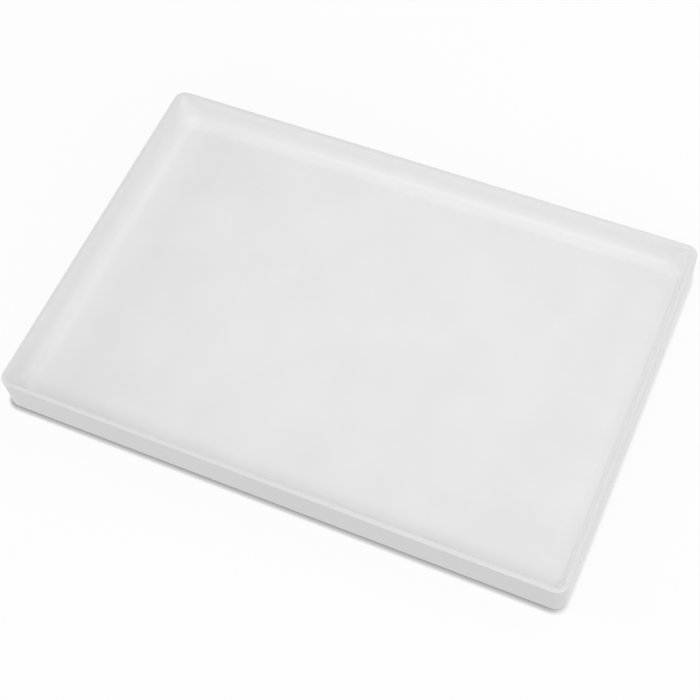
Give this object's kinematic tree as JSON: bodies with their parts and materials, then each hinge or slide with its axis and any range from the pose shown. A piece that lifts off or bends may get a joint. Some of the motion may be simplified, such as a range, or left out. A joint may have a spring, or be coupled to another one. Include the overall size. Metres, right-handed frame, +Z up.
{
  "type": "wet palette",
  "caption": "Shallow open rectangular tray with coved inside edges, holding a damp reservoir pad and a membrane sheet with turned-up margins that keeps paint wet.",
  "frame": {"origin": "centre of the tray's flat underside", "axes": "+X along the tray's length, +Y across its width, +Z up out of its open mouth"},
  "size_m": [0.3, 0.2, 0.0225],
  "materials": {
    "tray_plastic": "satin white moulded plastic with a soft sheen",
    "pad_felt": "damp white absorbent felt",
    "sheet_paper": "damp white membrane paper, matt with a faint sheen"
  },
  "bodies": {
    "tray": {"tray": "tray_plastic"},
    "pad": {"reservoir_pad": "pad_felt"},
    "sheet": {"membrane_sheet": "sheet_paper"}
  },
  "joints": [
    {"name": "pad_lift", "type": "slide", "parent": "tray", "child": "pad", "axis": [0, 0, 1], "range_m": [0, 0.04]},
    {"name": "sheet_lift", "type": "slide", "parent": "pad", "child": "sheet", "axis": [0, 0, 1], "range_m": [0, 0.03]}
  ]
}
